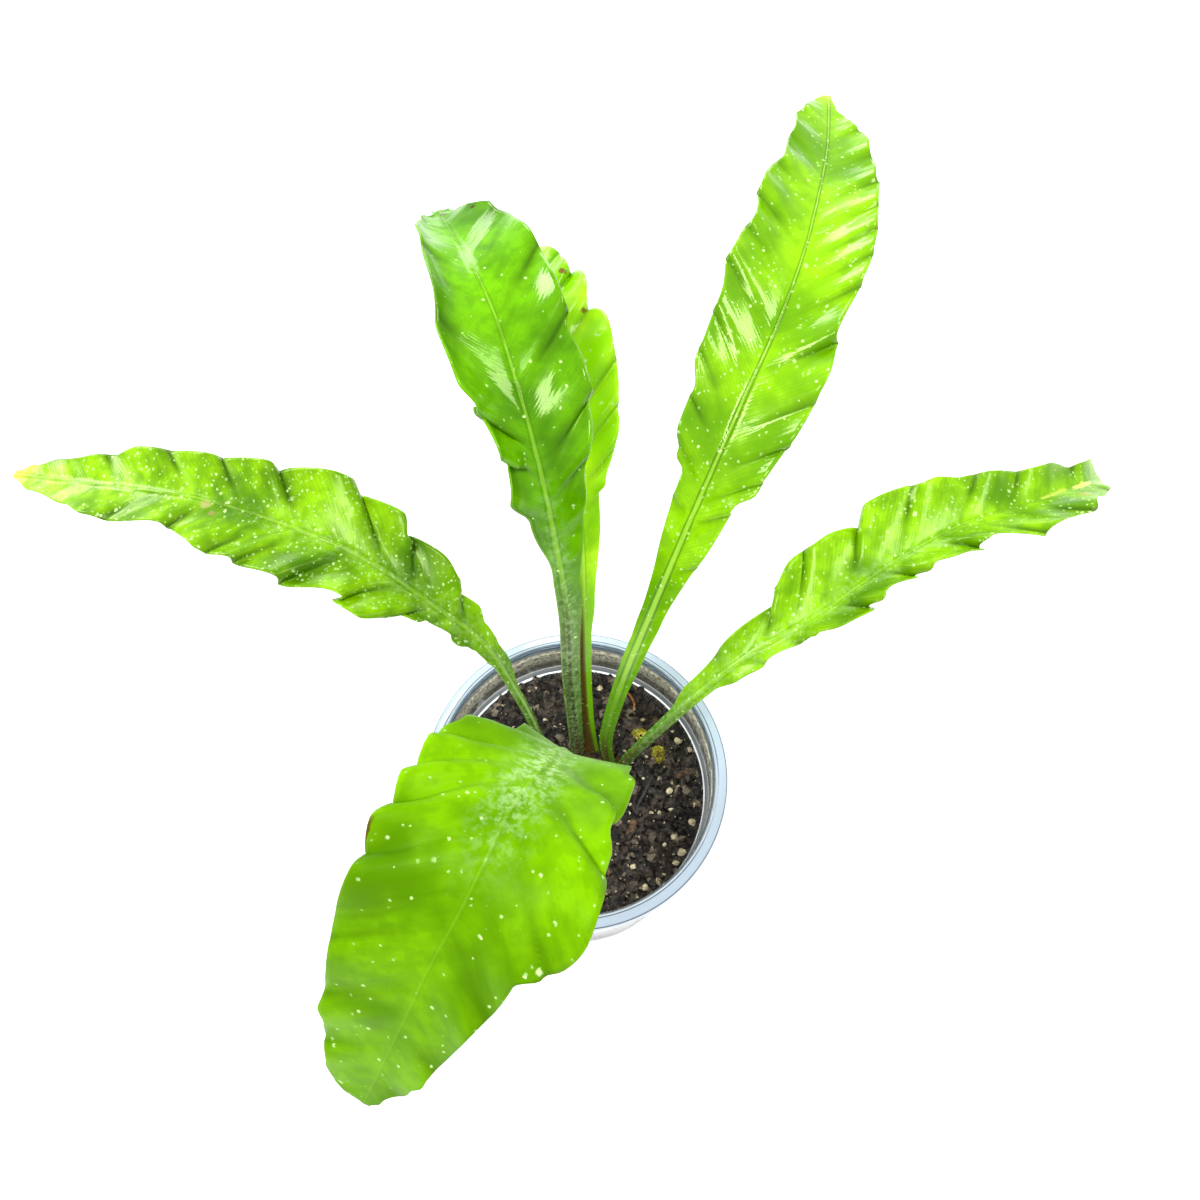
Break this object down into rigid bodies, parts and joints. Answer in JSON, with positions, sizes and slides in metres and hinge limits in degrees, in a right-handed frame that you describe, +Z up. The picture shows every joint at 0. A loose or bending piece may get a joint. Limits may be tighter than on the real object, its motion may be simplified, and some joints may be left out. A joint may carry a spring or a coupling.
{
  "type": "potted birds nest fern",
  "caption": "Bird's nest fern with long glossy wavy fronds rising from one crown in a small round clear plastic pot of bark and perlite mix.",
  "frame": {"origin": "centre of the pot's flat underside", "axes": "+Z up out of the pot; +X to the viewer's right and -Y towards the viewer in the picture, so the widest frond leans to -Y"},
  "size_m": [0.3733, 0.2997, 0.2808],
  "materials": {
    "clear_plastic": "clear, faintly blue, with a dried mineral band inside above the mix",
    "frond_green": "waxy glossy leaf, fine side veins, pale midrib, dried water specks",
    "potting_mix": "moist dark peat and bark crumbs",
    "rhizome": "dark brown, covered in small dry scales",
    "perlite": "chalky off-white grains",
    "bark": "rough dark bark",
    "moss": "soft yellow-green tufts",
    "fibre": "orange-brown bark fibre",
    "root": "dark damp root"
  },
  "bodies": {
    "root": {"bark_chip_1": "bark", "bark_chip_2": "bark", "bark_chip_3": "bark", "bark_chip_4": "bark", "bark_chip_5": "bark", "bark_chip_6": "bark", "bark_fibre": "fibre", "dark_root": "root", "frond_back": "frond_green", "frond_back_left": "frond_green", "frond_back_right": "frond_green", "frond_front": "frond_green", "frond_left": "frond_green", "frond_right": "frond_green", "moss_tuft_1": "moss", "moss_tuft_2": "moss", "perlite_01": "perlite", "perlite_02": "perlite", "perlite_03": "perlite", "perlite_04": "perlite", "perlite_05": "perlite", "perlite_06": "perlite", "perlite_07": "perlite", "perlite_08": "perlite", "perlite_09": "perlite", "perlite_10": "perlite", "perlite_11": "perlite", "perlite_12": "perlite", "perlite_13": "perlite", "perlite_14": "perlite", "perlite_15": "perlite", "perlite_16": "perlite", "perlite_17": "perlite", "perlite_18": "perlite", "perlite_19": "perlite", "perlite_20": "perlite", "pot": "clear_plastic", "potting_mix": "potting_mix", "rhizome": "rhizome"}
  },
  "joints": []
}
